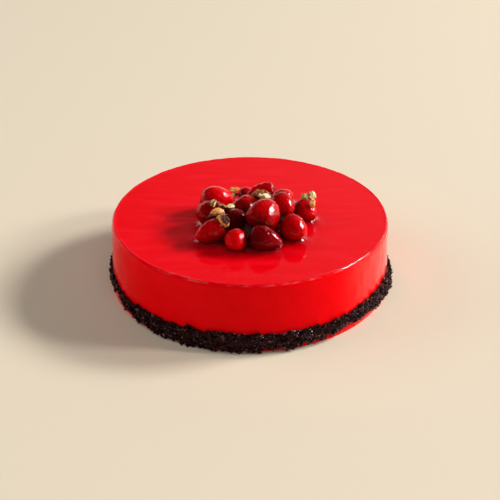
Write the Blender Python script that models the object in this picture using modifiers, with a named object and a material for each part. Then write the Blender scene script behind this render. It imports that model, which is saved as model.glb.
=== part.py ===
"""A round strawberry mousse cake: a low drum under a red mirror glaze, chocolate crumbs pressed
round its foot, and a pile of small glazed strawberries with chopped pistachios on its top.

The cake stands on z = 0 with its axis on Z. Metres throughout.
"""

import math
import random
from collections import namedtuple

import bmesh
import bpy
from mathutils import Euler, Matrix, Vector
from mathutils.bvhtree import BVHTree

# Driving dimensions of the glazed drum
TOP_RADIUS = 0.100  # a 200 mm ring mould, measured at the rim
CAKE_HEIGHT = 0.0506
RIM_ROUNDING = (0.0018, 0.004)  # the glaze's soft edge reaches this far in, and this far down
WALL_FLARE = 0.033  # the wall leans out by this much for each metre down
FOOT_ROUNDING = (0.0012, 0.0012)
TURN_STEPS = 96  # facets round the drum

# The crumb band
BAND_TOP = 0.01465  # mean height of its upper edge
BAND_FOOT = 0.00414  # mean height of its lower edge
BAND_THICKNESS = 0.0021  # mean thickness at its foot
BAND_LEAST = 0.0012  # it is nowhere thinner than this there
BAND_TAPER = 0.35  # it is thinner by this share at its upper edge
BAND_REACH = 0.1052  # no crumb stands further out than this
TOP_WAVE = 0.00046  # how far the upper edge strays from its swells
FOOT_WAVE = 0.00059  # and the lower edge, which comes down to z = 0 at most
THICKNESS_WAVE = 0.00026

# The hand that pressed the crumbs on rose and fell slowly: how many swells go round the cake, how
# high they are and where one is highest, in degrees from +X
TOP_SWELLS = (
    (1, 0.00043, 216),
    (2, 0.00079, 126),
    (3, 0.00104, 80),
    (4, 0.00079, 61),
    (5, 0.00089, 51),
    (7, 0.00062, 34),
)
FOOT_SWELLS = (
    (1, 0.00025, 82),
    (2, 0.00151, 174),
    (3, 0.00136, 75),
    (4, 0.00085, 22),
    (6, 0.00081, 20),
)
THICKNESS_SWELLS = (
    (1, 0.00027, 323),
    (2, 0.00045, 118),
    (3, 0.00019, 97),
    (4, 0.00036, 64),
    (5, 0.00019, 63),
)
BAND_STEPS = 200  # sections round the band
BAND_SIDES = 6  # sides of each section
BAND_RELIEF = 0.0003  # the packed crumbs stand out or back by this
EDGE_FULLNESS = 0.8  # under 1, the sections are fuller than round towards their edges
CRUMB_COUNT = 92  # larger crumbs that stand out of the band
CRUMB_RADIUS = (0.0009, 0.0016)
CRUMB_DENTS = (0.82, 1.12)  # their corners lie in or out by these factors
CRUMB_SINK = 1.2  # their middles are this many radii off the wall and in from BAND_REACH

CLEARANCE = 0.0003  # between neighbours that touch
GOLDEN_ANGLE = math.pi * (3 - math.sqrt(5))

# The fruit
BERRY_SEGMENTS = 14
BERRY_RINGS = 10
THREEFOLD = 0.03  # swellings round the middle, as shares of the width
TWOFOLD = 0.025
MOST_BEND = 0.05  # both ends lie this far off the axis at most, as a share of the width
STEM_START = 0.55  # from this share of half the length on, the stem end is flattened
STEM_SHARE = 0.7  # and keeps this much of its length there

# The nuts
NUT_CUTS = 6  # knife cuts that give a chip its flat sides
CUT_DEPTH = (0.55, 0.85)  # where the cuts lie, as shares of the chip's half size
CUT_KEEP = 0.04  # what a cut leaves of the bulge beyond it, so that its faces stay apart
SKIN_CURL = 0.12  # a half's outline swells and narrows by this share
SKIN_SAG = 0.25  # its ends hang lower than its middle by this share of its height
SKIN_WALL = 0.2  # thickness of a half's skin, as a share of its width

# Settling
DROP_HEIGHT = 0.045  # each piece is let down from here above the glaze
DROP_STEP = 0.0008
DROP_HALVINGS = 8  # the last step is narrowed down this often

# x and y are the middle's place on the glaze. length runs from the stem end to the tip, taper is
# how far the tip's half is narrower, heading is where the tip points, seen from above and counted
# from +X in degrees, and nose lifts the tip, also in degrees.
Berry = namedtuple("Berry", "x y length width taper heading nose")

# In the order in which they are laid down: the bottom layer from the left round to the back, its
# last two hidden among the others, and then the four that lean on them.
BERRIES = (
    Berry(-0.0250, 0.0025, 0.0260, 0.0205, 0.15, 10, 0),
    Berry(-0.0275, -0.0188, 0.0215, 0.0206, 0.15, 165, 0),
    Berry(-0.0270, -0.0420, 0.0235, 0.0176, 0.46, 206, -8),
    Berry(-0.0095, -0.0525, 0.0165, 0.0155, 0.15, 255, 0),
    Berry(0.0100, -0.0520, 0.0260, 0.0172, 0.45, -12, -10),
    Berry(0.0305, -0.0370, 0.0215, 0.0185, 0.25, -50, -12),
    Berry(0.0390, -0.0090, 0.0195, 0.0155, 0.30, -30, -15),
    Berry(-0.0100, -0.0215, 0.0180, 0.0155, 0.20, 100, 0),
    Berry(0.0250, 0.0135, 0.0165, 0.0130, 0.25, 35, 0),
    Berry(-0.0025, 0.0180, 0.0140, 0.0122, 0.20, 20, 0),
    Berry(0.0120, 0.0275, 0.0140, 0.0105, 0.20, 80, 0),
    Berry(0.0105, -0.0158, 0.0125, 0.0108, 0.20, -30, 0),
    Berry(-0.0020, -0.0050, 0.0225, 0.0175, 0.15, 60, 0),
    Berry(0.0235, -0.0113, 0.0205, 0.0160, 0.25, -50, -15),
    Berry(0.0095, -0.0320, 0.0262, 0.0232, 0.22, 48, 30),
    Berry(0.0086, 0.0078, 0.0227, 0.0112, 0.40, 180, -16),
)

# A chip is a chopped piece of kernel. A half is the hollow skin of half a kernel, which lies like
# an upturned boat. tilt lifts its heading end, in degrees.
Nut = namedtuple("Nut", "x y length width height heading tilt kind slot")

NUTS = (
    Nut(-0.0256, -0.0245, 0.0062, 0.0045, 0.0042, 80, 35, "chip", "pistachio"),
    Nut(-0.0228, -0.0300, 0.0115, 0.0055, 0.0040, 5, 0, "half", "pistachio_skin"),
    Nut(-0.0184, -0.0418, 0.0105, 0.0070, 0.0050, -40, -35, "half", "pistachio_skin"),
    Nut(-0.0138, -0.0135, 0.0060, 0.0050, 0.0042, 20, 0, "chip", "pistachio"),
    Nut(-0.0192, -0.0240, 0.0070, 0.0036, 0.0030, -10, 0, "chip", "pistachio_skin"),
    Nut(-0.0118, 0.0075, 0.0095, 0.0050, 0.0034, 5, 0, "chip", "pistachio_skin"),
    Nut(-0.0111, 0.0180, 0.0050, 0.0042, 0.0036, 40, 0, "chip", "pistachio"),
    Nut(0.0079, -0.0009, 0.0125, 0.0058, 0.0034, -15, 0, "half", "pistachio_skin"),
    Nut(0.0102, -0.0072, 0.0100, 0.0066, 0.0052, -10, 0, "chip", "pistachio"),
    Nut(0.0389, -0.0050, 0.0058, 0.0048, 0.0040, 30, 0, "chip", "pistachio"),
    Nut(0.0444, -0.0047, 0.0062, 0.0050, 0.0046, 80, 20, "chip", "pistachio"),
    Nut(0.0444, -0.0115, 0.0052, 0.0042, 0.0040, 60, 0, "chip", "pistachio_skin"),
)

COLOURS = {
    "glaze": ((0.78, 0.006, 0.012), 0.08),
    "crumb": ((0.012, 0.006, 0.005), 0.75),
    "strawberry": ((0.33, 0.003, 0.006), 0.12),
    "pistachio": ((0.42, 0.40, 0.12), 0.45),
    "pistachio_skin": ((0.50, 0.22, 0.05), 0.45),
}


def clear_scene():
    for obj in list(bpy.data.objects):
        bpy.data.objects.remove(obj, do_unlink=True)


def new_collection(name):
    collection = bpy.data.collections.new(name)
    bpy.context.scene.collection.children.link(collection)
    return collection


def material(slot):
    """One Principled finish for each kind of stuff."""
    colour, roughness = COLOURS[slot]
    made = bpy.data.materials.get(slot) or bpy.data.materials.new(slot)
    made.use_nodes = True
    shader = made.node_tree.nodes["Principled BSDF"]
    shader.inputs["Base Color"].default_value = (*colour, 1.0)
    shader.inputs["Roughness"].default_value = roughness
    shader.inputs["Metallic"].default_value = 0.0
    return made


def new_object(name, mesh, collection, slot):
    obj = bpy.data.objects.new(name, mesh)
    collection.objects.link(obj)
    mesh.materials.append(material(slot))
    return obj


def mesh_from(bm, name):
    mesh = bpy.data.meshes.new(name)
    bm.to_mesh(mesh)
    bm.free()
    return mesh


def wall_radius(z):
    """The glazed wall leans out a little towards the foot."""
    return TOP_RADIUS + WALL_FLARE * (CAKE_HEIGHT - z)


def arc(centre, radii, start, end, steps):
    """Points (x, z) of an arc round centre, its radii across and up, its angles in degrees."""
    angles = (math.radians(start + (end - start) * i / steps) for i in range(steps + 1))
    x, z = centre
    return [(x + radii[0] * math.cos(a), z + radii[1] * math.sin(a)) for a in angles]


def add_cake_body(collection):
    """The drum: its half section, from the middle of the top down to the middle of the foot, turned
    once round Z."""
    rim_centre = (TOP_RADIUS - RIM_ROUNDING[0], CAKE_HEIGHT - RIM_ROUNDING[1])
    foot_centre = (wall_radius(0) - FOOT_ROUNDING[0], FOOT_ROUNDING[1])
    section = [(0.0, CAKE_HEIGHT)]
    section += arc(rim_centre, RIM_ROUNDING, 90, 0, 6)
    section += arc(foot_centre, FOOT_ROUNDING, 0, -90, 3)
    section += [(0.0, 0.0)]
    bm = bmesh.new()
    points = [bm.verts.new((x, 0.0, z)) for x, z in section]
    for start, end in zip(points, points[1:]):
        bm.edges.new((start, end))
    body = new_object("cake_body", mesh_from(bm, "cake_body"), collection, "glaze")
    turn = body.modifiers.new("Turned", "SCREW")
    turn.axis = "Z"
    turn.angle = math.tau
    turn.steps = turn.render_steps = TURN_STEPS
    turn.use_merge_vertices = True
    turn.merge_threshold = 0.00001
    turn.use_smooth_shade = True
    return body


def unevenness(angle, seed):
    """Four waves of random phase round the cake, which together stay near -1 to 1 and close on
    themselves."""
    draw = random.Random(seed)
    waves = [(turns, draw.uniform(0, math.tau)) for turns in (2, 5, 9, 16)]
    return sum(math.sin(turns * angle + phase) for turns, phase in waves) / 2.4


def swell(angle, swells):
    """The sum of slow waves, each a cosine with its crest in a given direction."""
    return sum(
        height * math.cos(turns * (angle - math.radians(crest))) for turns, height, crest in swells
    )


def band_edges(angle):
    """The band's lower and upper edge and its thickness at the foot, which all wander."""
    foot = BAND_FOOT + swell(angle, FOOT_SWELLS) + FOOT_WAVE * unevenness(angle, 2933)
    top = BAND_TOP + swell(angle, TOP_SWELLS) + TOP_WAVE * unevenness(angle, 1608)
    stray = swell(angle, THICKNESS_SWELLS) + THICKNESS_WAVE * unevenness(angle, 905)
    return max(0.0, foot), top, max(BAND_LEAST, BAND_THICKNESS + stray)


def band_depth(height, foot, top, thickness):
    """How thick the band is at a height."""
    return thickness * (1 - BAND_TAPER * (height - foot) / (top - foot))


def band_ring(collection):
    """The packed core of the crumb band: a torus whose round section becomes a low wedge that
    leans on the wall."""
    tube = TOP_RADIUS / 10
    bpy.ops.mesh.primitive_torus_add(
        major_radius=TOP_RADIUS,
        minor_radius=tube,
        major_segments=BAND_STEPS,
        minor_segments=BAND_SIDES,
    )
    ring = bpy.context.object
    ring.name = ring.data.name = "crumb_core"
    for owner in list(ring.users_collection):
        owner.objects.unlink(ring)
    collection.objects.link(ring)
    draw = random.Random(11)
    reach_up = tube * math.sin(math.tau / BAND_SIDES)
    for vertex in ring.data.vertices:
        x, y, z = vertex.co
        angle = math.atan2(y, x)
        outward = (math.hypot(x, y) - TOP_RADIUS) / tube
        upward = max(-1.0, min(1.0, z / reach_up))
        foot, top, thickness = band_edges(angle)
        upward = math.copysign(abs(upward) ** EDGE_FULLNESS, upward)
        height = foot + (top - foot) * (0.5 + 0.5 * upward)
        depth = band_depth(height, foot, top, thickness) * (0.5 + 0.5 * outward)
        if outward > 0:
            depth += draw.uniform(-BAND_RELIEF, BAND_RELIEF)
        radius = min(wall_radius(height) + CLEARANCE + depth, BAND_REACH)
        vertex.co = (radius * math.cos(angle), radius * math.sin(angle), height)
    return ring


def crumb(collection, number, draw):
    """One cocoa crumb: a small angular lump that sits in the band's outer face. The first four
    stand furthest out, a quarter turn apart."""
    quarter = number < 4
    angle = number * (math.pi / 2 if quarter else GOLDEN_ANGLE)
    radius = draw.uniform(*CRUMB_RADIUS)
    foot, top, thickness = band_edges(angle)
    low = foot + CRUMB_SINK * radius
    height = low + (top - low) * (0.3 if quarter else draw.random())
    depth = band_depth(height, foot, top, thickness)
    centre = wall_radius(height) + CLEARANCE + max(depth, CRUMB_SINK * radius)
    centre = BAND_REACH - radius if quarter else min(centre, BAND_REACH - CRUMB_SINK * radius)
    lump = bmesh.new()
    bmesh.ops.create_icosphere(lump, subdivisions=1, radius=radius)
    for vertex in lump.verts:
        vertex.co *= 1.0 if quarter else draw.uniform(*CRUMB_DENTS)
    turned = Euler([draw.uniform(0, math.tau) for _ in range(3)]).to_matrix().to_4x4()
    place = Vector((centre * math.cos(angle), centre * math.sin(angle), height))
    bmesh.ops.transform(lump, matrix=Matrix.Translation(place) @ turned, verts=lump.verts)
    return new_object(f"crumb_{number}", mesh_from(lump, "crumb"), collection, "crumb")


def add_crumb_band(collection):
    """The core and its crumbs, joined into one solid."""
    loose = new_collection("loose_crumbs")
    draw = random.Random(29)
    for number in range(CRUMB_COUNT):
        crumb(loose, number, draw)
    core = band_ring(collection)
    join = core.modifiers.new("Joined", "BOOLEAN")
    join.operation = "UNION"
    join.operand_type = "COLLECTION"
    join.collection = loose
    join.solver = "MANIFOLD"
    graph = bpy.context.evaluated_depsgraph_get()
    mesh = bpy.data.meshes.new_from_object(core.evaluated_get(graph))
    mesh.name = "crumb_band"
    mesh.materials.clear()
    band = new_object("crumb_band", mesh, collection, "crumb")
    for obj in [core, *loose.objects]:
        bpy.data.objects.remove(obj, do_unlink=True)
    bpy.data.collections.remove(loose)
    return band


def berry_mesh(berry, number):
    """A sphere drawn out along Z, the tip at +Z: narrower towards the tip, flattened at the stem
    end, and a little lobed and bent so that no two are alike."""
    draw = random.Random(100 + number)
    phase_3, phase_2 = (draw.uniform(0, math.tau) for _ in range(2))
    bend = draw.uniform(-MOST_BEND, MOST_BEND)
    bm = bmesh.new()
    bmesh.ops.create_uvsphere(
        bm, u_segments=BERRY_SEGMENTS, v_segments=BERRY_RINGS, radius=1.0
    )
    widest = max(
        math.sqrt(1 - t * t) * (1 - berry.taper * (0.5 + 0.5 * t))
        for t in (i / 50 for i in range(-50, 51))
    )
    for vertex in bm.verts:
        x, y, z = vertex.co
        around = math.atan2(y, x)
        lobes = 1 + THREEFOLD * math.sin(3 * around + phase_3)
        lobes += TWOFOLD * math.sin(2 * around + phase_2)
        across = berry.width / 2 * lobes * (1 - berry.taper * (0.5 + 0.5 * z)) / widest
        along = z if z > -STEM_START else -STEM_START + STEM_SHARE * (z + STEM_START)
        aside = bend * berry.width * z * z
        vertex.co = (x * across + aside, y * across, along * berry.length / 2)
    return mesh_from(bm, "berry")


def chip_mesh(nut, number):
    """A chopped piece of kernel: a ball with flat knife cuts, drawn out along X."""
    draw = random.Random(200 + number)
    bm = bmesh.new()
    bmesh.ops.create_icosphere(bm, subdivisions=2, radius=1.0)
    for _ in range(NUT_CUTS):
        normal = Vector([draw.gauss(0, 1) for _ in range(3)]).normalized()
        depth = draw.uniform(*CUT_DEPTH)
        for vertex in bm.verts:
            beyond = vertex.co.dot(normal) - depth
            if beyond > 0:
                vertex.co -= (1 - CUT_KEEP) * beyond * normal
    scale = Matrix.Diagonal((nut.length / 2, nut.width / 2, nut.height / 2, 1.0))
    bmesh.ops.transform(bm, matrix=scale, verts=bm.verts)
    return mesh_from(bm, "chip")


def half_mesh(nut, number):
    """Half a kernel's skin: the upper half of a ball as an open bowl, its hollow facing -Z so that
    it lies like an upturned boat. A modifier gives it its wall."""
    draw = random.Random(300 + number)
    bm = bmesh.new()
    bmesh.ops.create_uvsphere(bm, u_segments=12, v_segments=8, radius=1.0)
    below = [vertex for vertex in bm.verts if vertex.co.z < -0.1]
    bmesh.ops.delete(bm, geom=below, context="VERTS")
    phase = draw.uniform(0, math.tau)
    for vertex in bm.verts:
        x, y, z = vertex.co
        curl = 1 + SKIN_CURL * math.sin(2 * math.atan2(y, x) + phase)
        vertex.co = (
            x * nut.length / 2 * curl,
            y * nut.width / 2,
            (z * curl - SKIN_SAG * x * x) * nut.height,
        )
    return mesh_from(bm, "half")


def add_skin_wall(obj, nut):
    wall = obj.modifiers.new("Wall", "SOLIDIFY")
    wall.thickness = SKIN_WALL * nut.width
    wall.offset = -1.0


def world_faces(obj, grown=0.0):
    """The object's evaluated surface in world space, moved out along its normals by `grown`."""
    graph = bpy.context.evaluated_depsgraph_get()
    solid = obj.evaluated_get(graph)
    mesh = solid.to_mesh()
    points = [obj.matrix_world @ (v.co + grown * v.normal) for v in mesh.vertices]
    faces = [tuple(face.vertices) for face in mesh.polygons]
    solid.to_mesh_clear()
    return points, faces


def settle(obj, heap):
    """Let the piece down from above until it touches the glaze or a piece that already lies
    there, and add it to the heap."""
    bpy.context.view_layer.update()
    points, faces = world_faces(obj, CLEARANCE)
    floor = CAKE_HEIGHT - min(point.z for point in points)

    def touches(lift):
        moved = BVHTree.FromPolygons([p + Vector((0, 0, lift)) for p in points], faces)
        return any(moved.overlap(other) for other in heap)

    lift = DROP_HEIGHT + floor
    while lift > floor and not touches(lift):
        lift -= DROP_STEP
    low, high = max(lift, floor), lift + DROP_STEP
    if lift <= floor and not touches(floor):
        high = floor
    for _ in range(DROP_HALVINGS if high > low else 0):
        middle = (low + high) / 2
        if touches(middle):
            low = middle
        else:
            high = middle
    obj.location.z += high
    bpy.context.view_layer.update()
    heap.append(BVHTree.FromPolygons(*world_faces(obj)))


def add_berries(collection, heap):
    for number, berry in enumerate(BERRIES, start=1):
        obj = new_object(f"berry_{number}", berry_mesh(berry, number), collection, "strawberry")
        obj.data.shade_smooth()
        pitch = math.radians(90 - berry.nose)
        obj.rotation_euler = (0.0, pitch, math.radians(berry.heading))
        obj.location = (berry.x, berry.y, 0.0)
        settle(obj, heap)


def add_nuts(collection, heap):
    for number, nut in enumerate(NUTS, start=1):
        half = nut.kind == "half"
        mesh = half_mesh(nut, number) if half else chip_mesh(nut, number)
        obj = new_object(f"nut_{number}", mesh, collection, nut.slot)
        if half:
            add_skin_wall(obj, nut)
        obj.rotation_euler = (0.0, math.radians(-nut.tilt), math.radians(nut.heading))
        obj.location = (nut.x, nut.y, 0.0)
        settle(obj, heap)


def build():
    clear_scene()
    cake = new_collection("strawberry_cake")
    add_cake_body(cake)
    add_crumb_band(cake)
    heap = []
    add_berries(cake, heap)
    add_nuts(cake, heap)


build()
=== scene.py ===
# A round strawberry mousse cake under red mirror glaze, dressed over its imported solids. All is in
# metres, in the frame of the solids: the cake stands on z = 0 with its axis on Z.

import math
import random

import bpy
import numpy as np
from mathutils import Euler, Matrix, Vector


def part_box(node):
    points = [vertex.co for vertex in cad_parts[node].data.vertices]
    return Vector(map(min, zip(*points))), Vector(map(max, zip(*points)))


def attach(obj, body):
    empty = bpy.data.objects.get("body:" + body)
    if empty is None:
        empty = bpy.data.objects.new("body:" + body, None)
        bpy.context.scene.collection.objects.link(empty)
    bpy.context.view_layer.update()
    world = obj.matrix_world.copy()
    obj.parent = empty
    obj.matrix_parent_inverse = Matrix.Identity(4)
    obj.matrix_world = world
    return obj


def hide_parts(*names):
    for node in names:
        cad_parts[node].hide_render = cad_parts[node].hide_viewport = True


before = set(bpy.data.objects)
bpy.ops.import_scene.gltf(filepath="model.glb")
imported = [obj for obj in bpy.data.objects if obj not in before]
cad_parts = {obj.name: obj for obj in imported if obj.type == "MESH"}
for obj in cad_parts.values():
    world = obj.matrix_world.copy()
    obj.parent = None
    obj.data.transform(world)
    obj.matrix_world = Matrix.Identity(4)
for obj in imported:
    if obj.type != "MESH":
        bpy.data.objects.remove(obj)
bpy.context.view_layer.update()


# Camera. It looks down on the cake from in front, from far enough away for a flat perspective.
CAMERA_TILT = math.radians(29.6)
CAMERA_DISTANCE = 0.824
AIM_HEIGHT = 0.0209
FOCAL_LENGTH = 80.28  # mm
SENSOR_WIDTH = 36.0  # mm

lens = bpy.data.cameras.new("camera")
lens.lens = FOCAL_LENGTH
lens.sensor_width = SENSOR_WIDTH
camera = bpy.data.objects.new("camera", lens)
camera.location = (
    0.0,
    -CAMERA_DISTANCE * math.cos(CAMERA_TILT),
    AIM_HEIGHT + CAMERA_DISTANCE * math.sin(CAMERA_TILT),
)
camera.rotation_euler = (math.pi / 2 - CAMERA_TILT, 0.0, 0.0)
bpy.context.scene.collection.objects.link(camera)
bpy.context.scene.camera = camera
bpy.context.scene.view_settings.view_transform = "Standard"


# Floor and light. A plain pale floor in a dim studio with soft lamps far off. The key lamp and a
# weaker one beside it stand to the right, a little behind the cake. Two broad fills before it and
# to its left aren't mirrored in the glaze, and a bright strip low down behind it is.
FLOOR_SIDE = 14.0
FLOOR_COLOUR = (0.72, 0.62, 0.47, 1.0)
# Each lamp's azimuth from +X and height above the floor, in degrees, its distance, size and power.
KEY = (17, 32, 6.0, (1.45, 1.15), 355.0)
SIDE = (-3, 27, 6.0, (0.7, 1.0), 185.0)
GLEAM = (9, 35, 6.0, (2.0, 1.9), 300.0)  # seen in the gloss alone
FILL = (-92, 50, 6.0, (6.0, 4.5), 96.0)
LEFT_FILL = (-184, 26, 4.0, (3.0, 3.0), 60.0)
STUDIO_DIM = (0.03, 0.03, 0.035, 1.0)
STUDIO_BRIGHT = (0.14, 0.14, 0.15, 1.0)
STUDIO_BACK = (0.42, 0.42, 0.44, 1.0)
STUDIO_STRIP = (1.1, 1.0, 1.0, 1.0)
# How far rightward, backward or upward one looks where each part of the studio begins and is full.
BRIGHT_SIDE = (0.1, 1.1)
BACK_DEPTH = (0.3, 0.95)
BACK_SIDE = (-0.28, 0.3)
STRIP_DEPTH = (0.0, 0.5)
STRIP_TOP = (0.10, 0.36)


class Level:
    """A number that varies over a surface, held as a node's output. Python's operators on it add
    Math nodes."""

    def __init__(self, finish, socket):
        self.finish = finish
        self.socket = socket

    def math(self, operation, first, second):
        sockets = {0: first, 1: second}
        return self.finish.node("ShaderNodeMath", {"operation": operation}, sockets)

    def __add__(self, other):
        return self.math("ADD", self, other)

    def __radd__(self, other):
        return self.math("ADD", other, self)

    def __sub__(self, other):
        return self.math("SUBTRACT", self, other)

    def __rsub__(self, other):
        return self.math("SUBTRACT", other, self)

    def __mul__(self, other):
        return self.math("MULTIPLY", self, other)

    def __rmul__(self, other):
        return self.math("MULTIPLY", other, self)


class Finish:
    """A Principled material, or the studio's background, and the nodes that feed it."""

    def __init__(self, owner):
        owner.use_nodes = True
        self.owner = owner
        self.tree = owner.node_tree
        self.shader = next(n for n in self.tree.nodes if n.type in ("BSDF_PRINCIPLED", "BACKGROUND"))

    def node(self, kind, settings, sockets, output=0):
        """One node: its settings first, a colour ramp's as a list of stops, then its sockets."""
        made = self.tree.nodes.new(kind)
        for key, value in settings.items():
            if key == "stops":
                for place, colour in value[1:-1]:
                    made.color_ramp.elements.new(place)
                for stop, (place, colour) in zip(made.color_ramp.elements, value):
                    stop.position = place
                    stop.color = (*colour, 1.0)
            else:
                setattr(made, key, value)
        for key, value in sockets.items():
            self.feed(made, key, value)
        return Level(self, made.outputs[output])

    def feed(self, node, key, value):
        """Links a Level to a node's socket, or sets a plain value on it."""
        if isinstance(value, Level):
            self.tree.links.new(value.socket, node.inputs[key])
        else:
            node.inputs[key].default_value = value

    def set(self, **sockets):
        """The shader's own sockets, with _ for the spaces in their names."""
        for key, value in sockets.items():
            self.feed(self.shader, key.replace("_", " "), value)

    def place(self, scale=(1.0, 1.0, 1.0)):
        """Object coordinates, stretched by scale."""
        here = self.node("ShaderNodeTexCoord", {}, {}, "Object")
        return self.node("ShaderNodeMapping", {}, {"Vector": here, "Scale": scale})

    def along(self, vector, axis):
        """One axis of a vector, as a number."""
        return self.node("ShaderNodeSeparateXYZ", {}, {"Vector": vector}, axis)

    def noise(self, vector, size, detail, roughness=0.5):
        """Cloudy noise between 0 and 1, whose patches are about `size` metres wide."""
        sockets = {"Vector": vector, "Scale": 1.0 / size, "Detail": detail, "Roughness": roughness}
        return self.node("ShaderNodeTexNoise", {}, sockets)

    def steps(self, level, low, high):
        """0 below low, 1 above high and smooth between them."""
        settings = {"interpolation_type": "SMOOTHSTEP"}
        sockets = {"Value": level, "From Min": low, "From Max": high}
        return self.node("ShaderNodeMapRange", settings, sockets)

    def blend(self, factor, first, second):
        """A colour that goes from first to second as the factor goes from 0 to 1."""
        settings = {"data_type": "RGBA"}
        return self.node("ShaderNodeMix", settings, {0: factor, 6: first, 7: second}, 2)

    def attribute(self, name):
        """A number stored on the mesh's points."""
        return self.node("ShaderNodeAttribute", {"attribute_name": name}, {}, "Fac")

    def bump(self, height, distance):
        """Fine relief, `distance` metres high where the height is 1."""
        sockets = {"Height": height, "Distance": distance}
        self.set(Normal=self.node("ShaderNodeBump", {}, sockets))


bpy.ops.mesh.primitive_plane_add(size=FLOOR_SIDE)
floor = bpy.context.object
floor.name = "floor"
floor_finish = Finish(bpy.data.materials.new("floor"))
floor_finish.set(Base_Color=FLOOR_COLOUR, Roughness=0.9, Specular_IOR_Level=0.1)
floor.data.materials.append(floor_finish.owner)


def soft_box(name, azimuth, height, distance, size, power):
    """A rectangular lamp in the direction given that faces the cake."""
    lamp = bpy.data.lights.new(name, "AREA")
    lamp.shape = "RECTANGLE"
    lamp.size, lamp.size_y = size
    lamp.energy = power
    stand = bpy.data.objects.new(name, lamp)
    out = distance * math.cos(math.radians(height))
    stand.location = (
        out * math.cos(math.radians(azimuth)),
        out * math.sin(math.radians(azimuth)),
        distance * math.sin(math.radians(height)),
    )
    stand.rotation_euler = stand.location.to_track_quat("Z", "Y").to_euler()
    bpy.context.scene.collection.objects.link(stand)
    return stand


soft_box("key_light", *KEY)
soft_box("side_light", *SIDE)
soft_box("gleam", *GLEAM).visible_diffuse = False
soft_box("fill_light", *FILL).visible_glossy = False
soft_box("left_fill", *LEFT_FILL).visible_glossy = False

world = bpy.data.worlds.new("studio")
bpy.context.scene.world = world
studio = Finish(world)
way = studio.node("ShaderNodeTexCoord", {}, {}, "Generated")
to_right, to_back, to_sky = (studio.along(way, axis) for axis in "XYZ")
front = studio.blend(studio.steps(to_right, *BRIGHT_SIDE), STUDIO_DIM, STUDIO_BRIGHT)
behind = studio.steps(to_back, *BACK_DEPTH) * studio.steps(to_right, *BACK_SIDE)
strip = studio.steps(to_back, *STRIP_DEPTH) * (1.0 - studio.steps(to_sky, *STRIP_TOP))
studio.set(Color=studio.blend(strip, studio.blend(behind, front, STUDIO_BACK), STUDIO_STRIP))


# Glazed drum. Mousse set in a ring, turned out and flooded with a clear red mirror glaze. It ends
# in a thin bead along the rim, hangs down the wall and climbs a little up the fruit, and it stands
# deep between the berries. Round and between them its colour is darker, partly as deep glaze and
# partly as painted shade.
RIM_ROUNDING = (0.0018, 0.004)
FOOT_ROUNDING = (0.0012, 0.0012)
WALL_FLARE = 0.033
# The section's points: close together as far out as the glaze round the fruit reaches, then wide
# apart, then closer up to the rim, round the rim, down the wall and round the foot.
PILE_EDGE, PILE_POINTS = 0.066, 130
OPEN_EDGE, OPEN_POINTS = 0.094, 14
EDGE_POINTS = 12
RIM_POINTS = 18
WALL_POINTS = 16
FOOT_POINTS = 5
DRUM_STEPS = 480  # points round
WALL_FINISH_FROM = PILE_POINTS + OPEN_POINTS + EDGE_POINTS + 8  # the first ring of faces it covers
# Reliefs: how high each is, and its ripples' seed, longest, shortest and count.
RIM_WAVE = 0.00016
RIM_SWAY = (3, 0.050, 0.012, 30)
RIM_NICKS = (4, 0.007, 0.0024, 30)
RIM_LIFT = (9, 0.016, 0.0024, 40)
NICK_SHARE = 0.4  # the nicks and the lift are this much of the rim's wave
RIM_ZONE = (0.004, 0.003)  # how far in from the rim and down the wall these waves reach
WALL_WAVE = 0.00009
WALL_SWAY = (5, 0.030, 0.006, 24)
WALL_STRETCH = (1, 1, 0.8)
WALL_FADE = 0.002  # it fades out over this much at the wall's top,
FOOT_FADE = (0.002, 0.004)  # and at its foot from this height, over this much above it
TOP_WAVE = 0.00004
TOP_SWAY = (7, 0.050, 0.010, 24)
TOP_STRETCH = (0.6, 1.4, 1)
TOP_FADE = 0.001  # how far down the rim what lies on the top fades out
BEAD = 0.00020
BEAD_BREAKS = (11, 0.012, 0.0025, 40)
BEAD_UNEVEN = 0.6  # as a share of the bead's height
BEAD_WIDTH = 0.0011
BEAD_PLACE = 0.0004  # its middle, outwards from where the rim starts to round
CLIMB = 0.0028  # how far the glaze climbs up the fruit
CLIMB_LAPS = (13, 0.005, 0.0024, 40)
CLIMB_UNEVEN = 0.16
CLIMB_REACH = 0.0023  # it falls to a third of that over this distance
CLIMB_JOIN = 3  # the power of the mean that joins neighbouring slopes
CLIMB_MOST = 2.0  # and the most it counts where several berries meet
POOL_HEIGHT = 0.0030  # how high the glaze stands between berries
POOL_FROM = 0.5  # how enclosed a place is where the pool begins, which is full 1 beyond that
ENCLOSE_REACH = 0.010
SHADE_REACH = 0.0040  # the glaze is deepest, and darkest with painted shade, as far as this round the fruit
FRINGE_REACH = 0.014  # and a little deeper, and darker with painted shade, as far as this
# How much the fringe, the nearness and the pool each add to the glaze's depth and painted shade.
FRINGE_DEPTH_AND_SHADE, NEAR_DEPTH_AND_SHADE, POOL_DEPTH_AND_SHADE = 0.36, 0.48, 0.6
DEEPEST = 1.15  # the depth and painted shade at which the glaze has its deepest colour
CLIMB_GLOSS = 0.7
GLOSS_SHUT = 0.75  # the climb has no wet gloss where it is this enclosed,
GLOSS_OPEN = 0.125  # and all of it where it is less than this
BEAD_GLOSS = 0.9
BEAD_GLINTS = (1.6, 0.75)  # how fast the gloss grows with the bead, and from what share of it
# A painted highlight along the rim: a pale broken line at the glaze's edge, which fades out on the
# left, away from the lamps.
HIGHLIGHT_PLACE, HIGHLIGHT_WIDTH = 0.0010, 0.00045
HIGHLIGHT_BREAKS = (17, 0.014, 0.0016, 40)
HIGHLIGHT_SHARE = (0.10, 0.9)
HIGHLIGHT_FROM, HIGHLIGHT_FADE = 0.078, 0.040

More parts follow.
